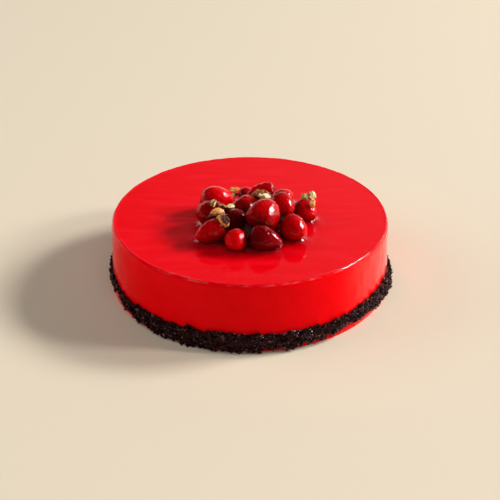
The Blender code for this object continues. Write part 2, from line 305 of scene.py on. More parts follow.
GLAZE_RED = (0.79, 0.0004, 0.0045, 1.0)
GLAZE_PALE = (0.83, 0.005, 0.014, 1.0)
# The colour of deep glaze. It is also the painted shade round and between the fruit, and the colour of
# the peel's pits.
GLAZE_DEEP_AND_SHADE = (0.055, 0.0001, 0.0010, 1.0)
# The colour of the painted highlight along the rim.
GLAZE_RIM_HIGHLIGHT = (0.92, 0.10, 0.11, 1.0)
SMEAR_STRETCH, SMEAR_SIZE = (0.35, 1.6, 0.5), 0.012
SMEARS = (0.42, 0.72)  # the noise between these goes from clear to smeared
SMEAR_PALENESS = 0.7
GLAZE_ROUGHNESS = (0.03, 0.06, 0.15)  # clear, and added where it is smeared and in the pool
PEEL_SIZE, PEEL_HEIGHT = 0.0013, 0.00003
PEEL_FRONT = (0.062, 0.088)  # the peel is coarser in front, from here to here before the axis
PEEL_COARSENESS = (0.4, 2.2)
PEEL_DOTS, DOT_DEPTH = (0.50, 0.66), 0.22

WALL_RED = (0.90, 0.0002, 0.0035, 1.0)
WALL_SHADE = (0.85, 0.0001, 0.002, 1.0)
RUN_SIZE, RUN_HEIGHT = 0.010, 0.00008
RUNS = (0.35, 0.65)
BLOOM_FROM = (0.057, 0.087)  # the wall is covered with a dull bloom between these x
STREAK_STRETCH, STREAK_SIZE = (1.0, 1.0, 0.25), 0.004
STREAKS = (0.36, 0.66)
BLOOM_SHARES = (0.55, 0.55)  # all over, and added in streaks

# Strawberries' places. Each is (x, y, length, width, taper, heading, nose): its middle on the
# glaze, its size, how much narrower its tip half is, and where the tip points, in degrees.
BERRIES = (
    (-0.0250, 0.0025, 0.0260, 0.0205, 0.15, 10, 0),
    (-0.0275, -0.0188, 0.0215, 0.0206, 0.15, 165, 0),
    (-0.0270, -0.0420, 0.0235, 0.0176, 0.46, 206, -8),
    (-0.0095, -0.0525, 0.0165, 0.0155, 0.15, 255, 0),
    (0.0100, -0.0520, 0.0260, 0.0172, 0.45, -12, -10),
    (0.0305, -0.0370, 0.0215, 0.0185, 0.25, -50, -12),
    (0.0390, -0.0090, 0.0195, 0.0155, 0.30, -30, -15),
    (-0.0100, -0.0215, 0.0180, 0.0155, 0.20, 100, 0),
    (0.0250, 0.0135, 0.0165, 0.0130, 0.25, 35, 0),
    (-0.0025, 0.0180, 0.0140, 0.0122, 0.20, 20, 0),
    (0.0120, 0.0275, 0.0140, 0.0105, 0.20, 80, 0),
    (0.0105, -0.0158, 0.0125, 0.0108, 0.20, -30, 0),
    (-0.0020, -0.0050, 0.0225, 0.0175, 0.15, 60, 0),
    (0.0235, -0.0113, 0.0205, 0.0160, 0.25, -50, -15),
    (0.0095, -0.0320, 0.0262, 0.0232, 0.22, 48, 30),
    (0.0086, 0.0078, 0.0227, 0.0112, 0.40, 180, -16),
)

drum_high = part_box("cake_body")[1]
CAKE_HEIGHT = drum_high.z
FOOT_RADIUS = drum_high.x
TOP_RADIUS = FOOT_RADIUS - WALL_FLARE * CAKE_HEIGHT
rim_centre = (TOP_RADIUS - RIM_ROUNDING[0], CAKE_HEIGHT - RIM_ROUNDING[1])
foot_centre = (FOOT_RADIUS - FOOT_ROUNDING[0], FOOT_ROUNDING[1])


def arc(centre, radii, start, end, count):
    """Points (r, z) of an arc, its radii across and up, its angles in degrees."""
    angles = np.radians(np.linspace(start, end, count))
    return np.array(centre) + np.stack([np.cos(angles), np.sin(angles)], 1) * radii


def straight(start, end, count):
    """Points (r, z) of a line, its ends left out."""
    return np.linspace(start, end, count + 2)[1:-1]


def ripples(points, seed, longest, shortest, count):
    """A gentle random relief, near -1 to 1: the sum of `count` sine waves through space, whose
    directions are random and whose lengths run from longest to shortest."""
    rng = np.random.default_rng(seed)
    ways = rng.normal(size=(count, 3))
    ways /= np.linalg.norm(ways, axis=1, keepdims=True)
    lengths = np.geomspace(longest, shortest, count)
    phases = rng.uniform(0, math.tau, count)
    waves = np.sin(points @ (ways * (math.tau / lengths)[:, None]).T + phases)
    return waves.sum(axis=-1) * math.sqrt(2 / count) / 2


def fruit_waterline(x, y):
    """How near the fruit is, in three ways: the glaze's climb as a share of CLIMB, how far fruit
    encloses the place, and the fringe. Round each berry an ellipse marks where its underside is
    CLIMB high. The nearness falls off outside it as exp(-distance / reach). The climb is a power
    mean over the berries that touch the glaze, which joins the slopes of neighbours. Enclosed is
    the sum of the nearnesses less the length of their sum as arrows towards the berries, so it
    grows where berries stand on all sides. The fringe is the largest nearness."""
    climb, nearness, fringe = np.zeros_like(x), np.zeros_like(x), np.zeros_like(x)
    arrow_x, arrow_y = np.zeros_like(x), np.zeros_like(x)
    for number, (bx, by, length, width, _, heading, _) in enumerate(BERRIES, start=1):
        low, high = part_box(f"berry_{number}")
        wetted = low.z - CAKE_HEIGHT < CLIMB
        radius = (high.z - low.z) / 2
        share = math.sqrt(1 - (1 - CLIMB / radius) ** 2)
        way = math.radians(heading)
        along = (x - bx) * math.cos(way) + (y - by) * math.sin(way)
        across = (y - by) * math.cos(way) - (x - bx) * math.sin(way)
        half_length, half_width = share * length / 2, share * width / 2
        ring = np.hypot(along / half_length, across / half_width)
        outside = np.maximum(ring - 1, 0) * (half_length + half_width) / 2
        climb += wetted * np.exp(-outside / CLIMB_REACH) ** CLIMB_JOIN
        near = np.exp(-outside / ENCLOSE_REACH)
        away = np.hypot(bx - x, by - y) + 0.0001
        nearness += near
        arrow_x += near * (bx - x) / away
        arrow_y += near * (by - y) / away
        fringe = np.maximum(fringe, np.exp(-outside / FRINGE_REACH))
    enclosed = nearness - np.hypot(arrow_x, arrow_y)
    return np.minimum(climb, CLIMB_MOST) ** (1 / CLIMB_JOIN), enclosed, fringe


def closed_mesh(name, rings, start=None, end=None, ringed=False):
    """A closed skin over rings of points, an array [ring, point round, xyz]. Quads join each ring
    to the next, fans join the first ring to the point `start` and the last to `end`, and a
    `ringed` mesh joins its last ring to its first instead. Faces point along the cross product
    of the way from ring to ring and the way round, so rings that run outwards, with points that
    run anticlockwise, face up."""
    count, around, _ = rings.shape
    index = np.arange(count * around).reshape(count, around)
    if ringed:
        index = np.vstack([index, index[:1]])
    ahead = np.roll(index, -1, axis=1)
    quads = np.stack([index[:-1], index[1:], ahead[1:], ahead[:-1]], axis=-1).reshape(-1, 4)
    points = [rings.reshape(-1, 3)]
    faces = quads.tolist()
    if start is not None:
        points.append(np.reshape(start, (1, 3)))
        pole = np.full(around, count * around)
        faces += np.stack([pole, index[0], ahead[0]], axis=-1).tolist()
    if end is not None:
        points.append(np.reshape(end, (1, 3)))
        pole = np.full(around, count * around + (start is not None))
        faces += np.stack([pole, ahead[-1], index[-1]], axis=-1).tolist()
    mesh = bpy.data.meshes.new(name)
    mesh.from_pydata(np.vstack(points).tolist(), [], faces)
    mesh.shade_smooth()
    return mesh


def store(mesh, name, values):
    """Keeps a number for each point of the mesh, for its material to read."""
    mesh.attributes.new(name, "FLOAT", "POINT").data.foreach_set("value", np.float32(values))


def piece(name, mesh, finish, slot, *nodes):
    """An object for the mesh that rides on the cake and stands for the solids named."""
    made = bpy.data.objects.new(name, mesh)
    bpy.context.scene.collection.objects.link(made)
    mesh.materials.append(finish.owner)
    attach(made, "root")
    if nodes:
        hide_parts(*nodes)
    return made


section = np.vstack([
    straight((0.0, CAKE_HEIGHT), (PILE_EDGE, CAKE_HEIGHT), PILE_POINTS),
    straight((PILE_EDGE, CAKE_HEIGHT), (OPEN_EDGE, CAKE_HEIGHT), OPEN_POINTS),
    straight((OPEN_EDGE, CAKE_HEIGHT), (rim_centre[0], CAKE_HEIGHT), EDGE_POINTS),
    arc(rim_centre, RIM_ROUNDING, 90, 0, RIM_POINTS),
    straight((TOP_RADIUS, rim_centre[1]), (FOOT_RADIUS, FOOT_ROUNDING[1]), WALL_POINTS),
    arc(foot_centre, FOOT_ROUNDING, 0, -90, FOOT_POINTS),
    [(FOOT_RADIUS / 2, 0.0)],
])
turn = np.linspace(0, math.tau, DRUM_STEPS, endpoint=False)
r, z = section[:, :1], section[:, 1:]
drum_rings = np.stack([r * np.cos(turn), r * np.sin(turn), z + 0 * turn], axis=-1)

on_rim = np.exp(-(((r - TOP_RADIUS) / RIM_ZONE[0]) ** 2) - ((z - CAKE_HEIGHT) / RIM_ZONE[1]) ** 2)
on_top = np.clip((z - CAKE_HEIGHT) / TOP_FADE + 1, 0, 1)
on_wall = np.clip((rim_centre[1] - z) / WALL_FADE, 0, 1)
on_wall = on_wall * np.clip((z - FOOT_FADE[0]) / FOOT_FADE[1], 0, 1)
outward = RIM_WAVE * on_rim * ripples(drum_rings, *RIM_SWAY)
outward += NICK_SHARE * RIM_WAVE * on_rim * ripples(drum_rings, *RIM_NICKS)
outward += WALL_WAVE * on_wall * ripples(drum_rings * WALL_STRETCH, *WALL_SWAY)
upward = TOP_WAVE * on_top * ripples(drum_rings * TOP_STRETCH, *TOP_SWAY)
upward += NICK_SHARE * RIM_WAVE * on_rim * ripples(drum_rings, *RIM_LIFT)
bead = np.exp(-(((r - rim_centre[0] - BEAD_PLACE) / BEAD_WIDTH) ** 2)) * on_top
beaded = 1 + BEAD_UNEVEN * ripples(drum_rings, *BEAD_BREAKS)
upward += BEAD * bead * beaded
climb, enclosed, fringe = fruit_waterline(drum_rings[..., 0], drum_rings[..., 1])
pool = np.clip(enclosed - POOL_FROM, 0, 1)
pool = pool * pool * (3 - 2 * pool)
drum_rings[..., 0] += outward * np.cos(turn)
drum_rings[..., 1] += outward * np.sin(turn)
lapping = 1 + CLIMB_UNEVEN * ripples(drum_rings, *CLIMB_LAPS)
drum_rings[..., 2] += upward + (CLIMB * climb * lapping + POOL_HEIGHT * pool) * on_top
summit = (0, 0, drum_rings[0, :, 2].mean())
drum_mesh = closed_mesh("glazed_drum", drum_rings, summit, (0, 0, 0))

# Painted shade round the fruit, together with the glaze's real depth: darker out to FRINGE_REACH, and
# darker still close to the fruit and in the pool between berries.
shaded = fringe ** (FRINGE_REACH / SHADE_REACH)
depth = FRINGE_DEPTH_AND_SHADE * fringe + NEAR_DEPTH_AND_SHADE * shaded + POOL_DEPTH_AND_SHADE * pool
store(drum_mesh, "depth", np.append(depth * on_top, (0, 0)))
store(drum_mesh, "pool", np.append(pool * on_top, (0, 0)))
open_side = np.clip((GLOSS_SHUT - enclosed) / (GLOSS_SHUT - GLOSS_OPEN), 0, 1)
glints = np.clip(BEAD_GLINTS[0] * (beaded - BEAD_GLINTS[1]), 0, 1)
wet = CLIMB_GLOSS * climb**2 * open_side + BEAD_GLOSS * bead * glints
store(drum_mesh, "wet", np.append(np.clip(wet, 0, 1) * on_top, (0, 0)))
# The painted highlight along the rim: broken, and faded out towards the left.
thin = np.exp(-(((r - rim_centre[0] - HIGHLIGHT_PLACE) / HIGHLIGHT_WIDTH) ** 2))
thin = thin * np.clip(HIGHLIGHT_SHARE[0] + HIGHLIGHT_SHARE[1] * ripples(drum_rings, *HIGHLIGHT_BREAKS), 0, 1)
thin *= np.clip((drum_rings[..., 0] + HIGHLIGHT_FROM) / HIGHLIGHT_FADE, 0, 1)
store(drum_mesh, "thin", np.append(thin, (0, 0)))

glaze = Finish(bpy.data.materials.new("mirror_glaze"))
smears = glaze.steps(glaze.noise(glaze.place(SMEAR_STRETCH), SMEAR_SIZE, 4), *SMEARS)
glazed = glaze.blend(smears * SMEAR_PALENESS, GLAZE_RED, GLAZE_PALE)
# The glaze darkens towards its deep colour with depth and painted shade.
deep_and_shaded = glaze.steps(glaze.attribute("depth"), 0.0, DEEPEST)
coarse = glaze.steps(glaze.along(glaze.place(), "Y") * -1.0, *PEEL_FRONT)
peel = glaze.noise(glaze.place(), PEEL_SIZE, 2)
dots = glaze.steps(peel, *PEEL_DOTS) * coarse * DOT_DEPTH
layered = glaze.blend(deep_and_shaded + dots, glazed, GLAZE_DEEP_AND_SHADE)
clear, smeared, pooled = GLAZE_ROUGHNESS
roughness = clear + smears * smeared + glaze.attribute("pool") * pooled
glaze.set(
    # The glaze turns pale where the painted highlight along the rim lies.
    Base_Color=glaze.blend(glaze.attribute("thin"), layered, GLAZE_RIM_HIGHLIGHT),
    Roughness=roughness,
    IOR=1.27,
    Coat_Weight=glaze.attribute("wet"),
    Coat_Roughness=0.05,
    Coat_IOR=1.5,
)
glaze.bump(peel * (PEEL_COARSENESS[0] + coarse * PEEL_COARSENESS[1]), PEEL_HEIGHT)

wall_glaze = Finish(bpy.data.materials.new("wall_glaze"))
runs = wall_glaze.noise(wall_glaze.place(WALL_STRETCH), RUN_SIZE, 3)
streaks = wall_glaze.steps(wall_glaze.noise(wall_glaze.place(STREAK_STRETCH), STREAK_SIZE, 4), *STREAKS)
bloom = wall_glaze.steps(wall_glaze.along(wall_glaze.place(), "X"), *BLOOM_FROM)
wall_glaze.set(
    Base_Color=wall_glaze.blend(wall_glaze.steps(runs, *RUNS), WALL_SHADE, WALL_RED),
    Roughness=0.14,
    IOR=1.12,
    Sheen_Weight=0.2,
    Sheen_Roughness=0.2,
    Coat_Weight=bloom * (BLOOM_SHARES[0] + streaks * BLOOM_SHARES[1]),
    Coat_Roughness=0.25,
    Coat_IOR=1.5,
)
wall_glaze.bump(runs, RUN_HEIGHT)

piece("glazed_drum", drum_mesh, glaze, "glaze", "cake_body")
drum_mesh.materials.append(wall_glaze.owner)
face_ring = np.arange(len(drum_mesh.polygons)) // DRUM_STEPS
on_side = (face_ring >= WALL_FINISH_FROM) & (face_ring < len(section) - 1)
drum_mesh.polygons.foreach_set("material_index", on_side.astype(np.int32))


# Crumb band. Dark chocolate crumbs pressed by hand against the wet glaze round the foot: a packed
# bed, and over it thousands of small flakes that lie every way.
BAND_TOP = 0.01465
BAND_FOOT = 0.00414
BAND_THICKNESS = 0.0021
BAND_LEAST = 0.0012  # it is nowhere thinner than this
BAND_TAPER = 0.35  # how much thinner it is at its top, as a share
BAND_REACH = 0.1052  # it is pressed flat at this radius
BAND_SQUARENESS = 0.8  # of its section: 1 is an ellipse, 0 a box
BAND_GAP = 0.0003  # between it and the wall
# The uneven edges and face: how high each unevenness is, and the seed of its waves.
TOP_EDGE_WAVE, TOP_EDGE_SEED = 0.00046, 1608
FOOT_EDGE_WAVE, FOOT_EDGE_SEED = 0.00059, 2933
THICKNESS_WAVE, THICKNESS_SEED = 0.00026, 905
EDGE_TURNS = (2, 5, 9, 16)  # how many of these waves go round the cake
EDGE_SHARE = 2.4  # their sum is divided by this
# Slow swells: how many go round, how high they are, and where one is highest, in degrees.
TOP_SWELLS = (
    (1, 0.00043, 216),
    (2, 0.00079, 126),
    (3, 0.00104, 80),
    (4, 0.00079, 61),
    (5, 0.00089, 51),
    (7, 0.00062, 34),
)
FOOT_SWELLS = (
    (1, 0.00025, 82),
    (2, 0.00151, 174),
    (3, 0.00136, 75),
    (4, 0.00085, 22),
    (6, 0.00081, 20),
)
THICKNESS_SWELLS = (
    (1, 0.00027, 323),
    (2, 0.00045, 118),
    (3, 0.00019, 97),
    (4, 0.00036, 64),
    (5, 0.00019, 63),
)
CLUMPING = 0.0018  # the edges stray this far up and down where crumbs cling together
CLUMP_WAVES = (33, 0.012, 0.003, 40)
CLUMP_SWELL = 0.35  # and the face this share of it in and out
BED_STEPS = 480
BED_SIDES = 20
BED_SEED = 12
BED_PITS = 0.0006
FLAKES = 9900
FLAKE_SEED = 31
FLAKE_SIZE = (0.00032, 0.00115)
FEW_LARGE = 2.5  # the higher, the fewer flakes are near the largest size
FLAKE_FORM = (1.35, 0.85, 0.60)
FLAKE_STRETCH = (0.75, 1.25)
FLAKE_DENTS = (0.75, 1.2)
FLAKE_OUT = (-0.0005, 0.0004)  # how far they lie in or out of the band's face
FACE_CROWDING = 1.15  # above 1, they crowd towards the middle of the face
FACE_WRAP = 1.18  # and lie round to this many quarter turns from it
LUMP_CORNERS = 12  # an icosahedron's
GOLDEN_TURN = math.pi * (3 - math.sqrt(5))  # from one lump to the next, which spaces them evenly
CRUMB_DARK = (0.0100, 0.0005, 0.0007, 1.0)
CRUMB_PALE = (0.42, 0.18, 0.19, 1.0)
FEW_PALE = 8  # the higher, the fewer flakes are pale
CRUMB_GRAIN = 0.0008


def unevenness(angle, seed):
    """Four waves of random phase round the cake, which close on themselves."""
    draw = random.Random(seed)
    waves = [(turns, draw.uniform(0, math.tau)) for turns in EDGE_TURNS]
    return sum(np.sin(turns * angle + phase) for turns, phase in waves) / EDGE_SHARE


def swell(angle, swells):
    """The sum of slow cosine waves, each with its crest in a given direction."""
    return sum(rise * np.cos(turns * (angle - math.radians(crest))) for turns, rise, crest in swells)


def band_surface(angle, side, out):
    """A point of the band: `angle` round the cake and `side` round its section, 0 outwards and a
    quarter turn up. The section is an ellipse squared off and leant on the wall. The point is
    moved `out` from the wall."""
    sidewards, upwards = np.cos(side), np.sin(side)
    upwards = np.sign(upwards) * np.abs(upwards) ** BAND_SQUARENESS
    foot = BAND_FOOT + swell(angle, FOOT_SWELLS) + FOOT_EDGE_WAVE * unevenness(angle, FOOT_EDGE_SEED)
    foot = np.maximum(0.0, foot)
    top = BAND_TOP + swell(angle, TOP_SWELLS) + TOP_EDGE_WAVE * unevenness(angle, TOP_EDGE_SEED)
    stray = swell(angle, THICKNESS_SWELLS) + THICKNESS_WAVE * unevenness(angle, THICKNESS_SEED)
    thickness = np.maximum(BAND_LEAST, BAND_THICKNESS + stray)
    height = foot + (top - foot) * (0.5 + 0.5 * upwards)
    depth = thickness * (1 - BAND_TAPER * (height - foot) / (top - foot)) * (0.5 + 0.5 * sidewards)
    radius = TOP_RADIUS + WALL_FLARE * (CAKE_HEIGHT - height) + BAND_GAP + depth
    radius = np.minimum(radius, BAND_REACH) + out
    return np.stack([radius * np.cos(angle), radius * np.sin(angle), height], axis=-1)


def scattered(name, centres, axes, dents):
    """A mesh of one lump for each centre: an icosahedron whose corners are moved in or out by the
    dents, and stretched along the axes, an array [lump, axis, xyz]."""
    bpy.ops.mesh.primitive_ico_sphere_add(subdivisions=1, radius=1.0)
    pattern = bpy.context.object
    corners = np.array([corner.co for corner in pattern.data.vertices])
    faces = np.array([list(face.vertices) for face in pattern.data.polygons])
    bpy.data.objects.remove(pattern)
    points = np.einsum("nva,nax->nvx", corners * dents[..., None], axes) + centres[:, None]
    points[..., 2] = np.maximum(points[..., 2], 0.0)
    shift = np.arange(len(centres))[:, None, None] * len(corners)
    mesh = bpy.data.meshes.new(name)
    mesh.from_pydata(points.reshape(-1, 3).tolist(), [], (faces + shift).reshape(-1, 3).tolist())
    return mesh


def tumbled(rng, count):
    """Random turns: for each, three unit axes at right angles, an array [count, axis, xyz]."""
    first = rng.normal(size=(count, 3))
    first /= np.linalg.norm(first, axis=1, keepdims=True)
    second = np.cross(first, rng.normal(size=(count, 3)))
    second /= np.linalg.norm(second, axis=1, keepdims=True)
    return np.stack([first, second, np.cross(first, second)], axis=1)


bed_side = np.linspace(0, math.tau, BED_SIDES, endpoint=False)[:, None]
bed_turn = np.linspace(0, math.tau, BED_STEPS, endpoint=False)[None, :]
bed_rng = np.random.default_rng(BED_SEED)
bed_relief = bed_rng.uniform(-BED_PITS, 0.0, (BED_SIDES, BED_STEPS)) * (np.cos(bed_side) > 0)
bed_rings = band_surface(bed_turn + 0 * bed_side, bed_side + 0 * bed_turn, bed_relief)
bed_rings[..., 2] += CLUMPING * ripples(bed_rings, *CLUMP_WAVES) * np.sin(bed_side)
bed_rings[..., 2] = np.maximum(bed_rings[..., 2], 0.0)
bed_mesh = closed_mesh("crumb_bed", bed_rings[::-1], ringed=True)
store(bed_mesh, "paleness", np.zeros(BED_SIDES * BED_STEPS))

flake_rng = np.random.default_rng(FLAKE_SEED)
flake_angle = np.arange(FLAKES) * GOLDEN_TURN % math.tau
face_share = flake_rng.uniform(-1, 1, FLAKES)
flake_side = np.arcsin(np.sign(face_share) * np.abs(face_share) ** FACE_CROWDING) * FACE_WRAP
flake_centres = band_surface(flake_angle, flake_side, flake_rng.uniform(*FLAKE_OUT, FLAKES))
clumps = ripples(flake_centres, *CLUMP_WAVES)
flake_centres[:, 2] += CLUMPING * clumps * np.sin(flake_side)
flake_centres[:, :2] *= 1 + CLUMP_SWELL * CLUMPING * clumps[:, None] / TOP_RADIUS
large = flake_rng.uniform(0, 1, (FLAKES, 1)) ** FEW_LARGE
flake_size = (FLAKE_SIZE[0] + (FLAKE_SIZE[1] - FLAKE_SIZE[0]) * large) * FLAKE_FORM
flake_size *= flake_rng.uniform(*FLAKE_STRETCH, (FLAKES, 3))
flakes_mesh = scattered(
    "crumb_flakes",
    flake_centres,
    tumbled(flake_rng, FLAKES) * flake_size[..., None],
    flake_rng.uniform(*FLAKE_DENTS, (FLAKES, LUMP_CORNERS)),
)
flake_paleness = flake_rng.uniform(0, 1, FLAKES) ** FEW_PALE
store(flakes_mesh, "paleness", np.repeat(flake_paleness, LUMP_CORNERS))

crumbs = Finish(bpy.data.materials.new("chocolate_crumbs"))
crumb_tone = crumbs.attribute("paleness") * crumbs.noise(crumbs.place(), CRUMB_GRAIN, 2)
crumbs.set(
    Base_Color=crumbs.blend(crumb_tone, CRUMB_DARK, CRUMB_PALE),
    Roughness=0.26,
    IOR=1.28,
    Specular_Tint=(1.0, 0.66, 0.66, 1.0),
)
piece("crumb_bed", bed_mesh, crumbs, "crumb", "crumb_band")
piece("crumb_flakes", flakes_mesh, crumbs, "crumb", "crumb_band")


# Strawberries. Small whole fruit, hulled and dipped in clear glaze, so that they look lacquered.
# Each seed lies in a pit of its own under the gloss, and the pits break up the lights on it.
BERRY_GRID = 0.00042  # size of a berry's facets
BERRY_DRAW, SKIN_DRAW, STRAY_DRAW = 100, 400, 700  # seeds of random draws, plus the berry's number
TIP_TO_STEM = 1.35  # along the skin, in lengths
THREEFOLD, TWOFOLD = 0.03, 0.025  # how high the waves round its middle are, as shares of it
MOST_BEND = 0.05  # how far aside its ends may lie, as a share of its width
STEM_START = 0.55  # the stem end is flattened from here, as a share of half the length,
STEM_SHARE = 0.7  # to this share of what lies beyond
SKIN_WAVE, SKIN_WAVES = 0.00012, (0.009, 0.0032, 24)
SEED_SPACING = 0.0034
SEED_STRAY = 0.3  # how far a seed lies off its even place, as a share of the spacing
NEAR_POLE = 0.3  # the sine of the angle from a pole nearer which a stray grows no more
NUDGE = 0.01  # radians, to find which way is down and round at a seed
PIT_DEPTH = 0.00032
PIT_WIDTH = 0.00100
SEED_SINK = 0.00012
SEED_FORM = (0.00042, 0.00026, 0.00014)
# How ripe and lit through each looks, from dark to bright. The darker ones deep among the others, such
# as berry 8, are partly painted shade.
RIPENESS = (1.0, 0.46, 0.62, 0.86, 0.38, 0.72, 0.72, 0.40, 0.8, 0.6, 0.5, 0.3, 0.66, 0.66, 0.64, 0.8)
TIP_LIGHTENING = (0.86, 0.34)  # at the berry's waist, and added towards its tip
CONTACT_REACH, CONTACT_SHADE = 0.0022, 0.85  # it is painted darker, as shade, as near as this to its neighbours,
FLOOD_REACH, FLOOD_SHADE = 0.0040, 0.68  # and to the glaze that it stands in
FLOOD_HEIGHT = 0.001  # how high that stands round it, where this shade is full
BERRY_RED = (0.66, 0.0004, 0.0020, 1.0)
BERRY_DARK = (0.022, 0.0001, 0.0004, 1.0)
MOTTLE_SIZE, MOTTLE = 0.006, 0.35
DIMPLE_SIZE, DIMPLE_DEPTH = 0.0014, 0.00017
SEED_AMBER = (0.20, 0.020, 0.004, 1.0)
SEED_RED = (0.16, 0.004, 0.002, 1.0)
SEED_PATCH = 0.003  # neighbouring seeds are alike over this distance


def berry_form(number, polar, around):
    """The berry's surface before it is laid down, its tip at +Z: a unit sphere's point at the
    angle `polar` from the tip, narrowed towards the tip by the taper, swollen by two slow waves
    round its middle, flattened at the stem end and bent a little to one side."""
    length, width, taper = BERRIES[number - 1][2:5]
    draw = random.Random(BERRY_DRAW + number)
    phase_3, phase_2 = (draw.uniform(0, math.tau) for _ in range(2))
    bend = draw.uniform(-MOST_BEND, MOST_BEND)
    heights = np.linspace(-1, 1, 101)
    widest = (np.sqrt(1 - heights**2) * (1 - taper * (0.5 + 0.5 * heights))).max()
    z = np.cos(polar)
    lobes = 1 + THREEFOLD * np.sin(3 * around + phase_3) + TWOFOLD * np.sin(2 * around + phase_2)
    across = width / 2 * lobes * (1 - taper * (0.5 + 0.5 * z)) / widest * np.sin(polar)
    along = np.where(z > -STEM_START, z, -STEM_START + STEM_SHARE * (z + STEM_START))
    aside = bend * width * z * z
    form = (across * np.cos(around) + aside, across * np.sin(around), along * length / 2)
    return np.stack(np.broadcast_arrays(*form), axis=-1)


def berry_turn(number):
    """The berry's turn from its tip at +Z to its heading and nose, as a matrix."""
    heading, nose = BERRIES[number - 1][5:]
    return np.array(Euler((0.0, math.radians(90 - nose), math.radians(heading))).to_matrix())


def laid_down(number, points):
    """Turns the points as the berry lies and moves them to its place on the top."""
    x, y = BERRIES[number - 1][:2]
    return points @ berry_turn(number).T + (x, y, 0.0)


def beside(number, points):
    """How far the points are from a berry's surface, roughly: outwards from its middle, with the
    berry taken as an ellipsoid."""
    x, y, length, width = BERRIES[number - 1][:4]
    low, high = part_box(f"berry_{number}")
    local = (points - (x, y, (low.z + high.z) / 2)) @ berry_turn(number)
    share = np.linalg.norm(local / (width / 2, width / 2, length / 2), axis=-1)
    return np.linalg.norm(local, axis=-1) * (1 - 1 / np.maximum(share, 0.2))


berry_skin = Finish(bpy.data.materials.new("glazed_berry"))
# The skin's colour follows its ripeness and the painted shade stored with it.
mottle = (berry_skin.noise(berry_skin.place(), MOTTLE_SIZE, 3) - 0.5) * MOTTLE
ripeness = berry_skin.steps(berry_skin.attribute("ripeness") + mottle, 0.0, 1.0)
berry_skin.set(
    Base_Color=berry_skin.blend(ripeness, BERRY_DARK, BERRY_RED),
    Roughness=0.03,
    IOR=1.34,
    Subsurface_Weight=0.35,
    Subsurface_Radius=(1.0, 0.05, 0.04),
    Subsurface_Scale=0.003,
)
berry_skin.bump(berry_skin.noise(berry_skin.place(), DIMPLE_SIZE, 1), DIMPLE_DEPTH)
seed_coat = Finish(bpy.data.materials.new("seed"))
seed_tone = seed_coat.noise(seed_coat.place(), SEED_PATCH, 1)
seed_coat.set(Base_Color=seed_coat.blend(seed_tone, SEED_RED, SEED_AMBER), Roughness=0.25, IOR=1.3)

seed_centres, seed_axes = [], []
for number in range(1, len(BERRIES) + 1):
    length, width = BERRIES[number - 1][2:4]
    rows = round(TIP_TO_STEM * length / BERRY_GRID)
    columns = round(math.pi * width / BERRY_GRID)
    polar = np.linspace(0, math.pi, rows + 2)[1:-1, None]
    around = np.linspace(0, math.tau, columns, endpoint=False)[None, :]
    skin = berry_form(number, polar, around)
    poles = berry_form(number, np.array([0, math.pi]), np.zeros(2))

    # The seeds, on a spiral from the tip to the stem, each with axes down, round and out.
    seeds = int(math.pi * length * width / SEED_SPACING**2)
    stray = SEED_STRAY * np.random.default_rng(STRAY_DRAW + number).uniform(-1, 1, (2, seeds))
    seed_polar = np.arccos(1 - 2 * (np.arange(seeds) + 0.5) / seeds)
    seed_polar += stray[0] * 2 * SEED_SPACING / length
    seed_around = np.arange(seeds) * GOLDEN_TURN
    seed_around += stray[1] * 2 * SEED_SPACING / width / np.maximum(np.sin(seed_polar), NEAR_POLE)
    seed_points = berry_form(number, seed_polar, seed_around)
    downward = berry_form(number, seed_polar + NUDGE, seed_around) - seed_points
    sideward = berry_form(number, seed_polar, seed_around + NUDGE) - seed_points
    outward = np.cross(downward, sideward)
    outward /= np.linalg.norm(outward, axis=1, keepdims=True)
    downward /= np.linalg.norm(downward, axis=1, keepdims=True)
    seed_points -= outward * (PIT_DEPTH + SEED_SINK)

    # Their pits and the slow unevenness of the skin, both pressed towards the berry's middle.
    inward = -skin / np.linalg.norm(skin, axis=-1, keepdims=True)
    gaps = np.linalg.norm(skin[:, :, None] - seed_points, axis=-1)
    pits = np.exp(-((gaps / PIT_WIDTH) ** 2)).max(axis=-1)
    skin += inward * (PIT_DEPTH * pits)[..., None]
    skin += inward * SKIN_WAVE * ripples(skin, SKIN_DRAW + number, *SKIN_WAVES)[..., None]

    # Laid down, and lifted to its solid's height.
    skin = laid_down(number, skin)
    low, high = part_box(f"berry_{number}")
    lift = (low.z + high.z) / 2 - (skin[..., 2].min() + skin[..., 2].max()) / 2
    lift = np.array([0.0, 0.0, lift])
    poles = laid_down(number, poles) + lift
    berry_mesh = closed_mesh(f"strawberry_{number}", skin + lift, poles[0], poles[1])
    middle = laid_down(number, np.zeros((1, 3)))
    axes = np.stack([downward, np.cross(outward, downward), outward], axis=1)
    seed_centres.append(laid_down(number, seed_points) + lift)
    seed_axes.append((laid_down(number, axes.reshape(-1, 3)) - middle).reshape(-1, 3, 3))

    # Its ripeness, with painted shade where little light comes in: against other berries and low down
    # in the glaze. It is lighter towards its tip.
    places = np.vstack([(skin + lift).reshape(-1, 3), poles])
    others = [other for other in range(1, len(BERRIES) + 1) if other != number]
    nearest = np.min([beside(other, places) for other in others], axis=0)
    contact = np.exp(-np.maximum(nearest, 0) / CONTACT_REACH)
    above = np.maximum(places[:, 2] - CAKE_HEIGHT - FLOOD_HEIGHT, 0)
    flood = np.exp(-above / FLOOD_REACH)
    tip_half = np.append(0 * skin[..., 0] + np.cos(polar), (1, -1))
    shade = (1 - CONTACT_SHADE * contact) * (1 - FLOOD_SHADE * flood)
    shade *= TIP_LIGHTENING[0] + TIP_LIGHTENING[1] * tip_half
    store(berry_mesh, "ripeness", RIPENESS[number - 1] * shade)
    piece(f"strawberry_{number}", berry_mesh, berry_skin, "strawberry", f"berry_{number}")

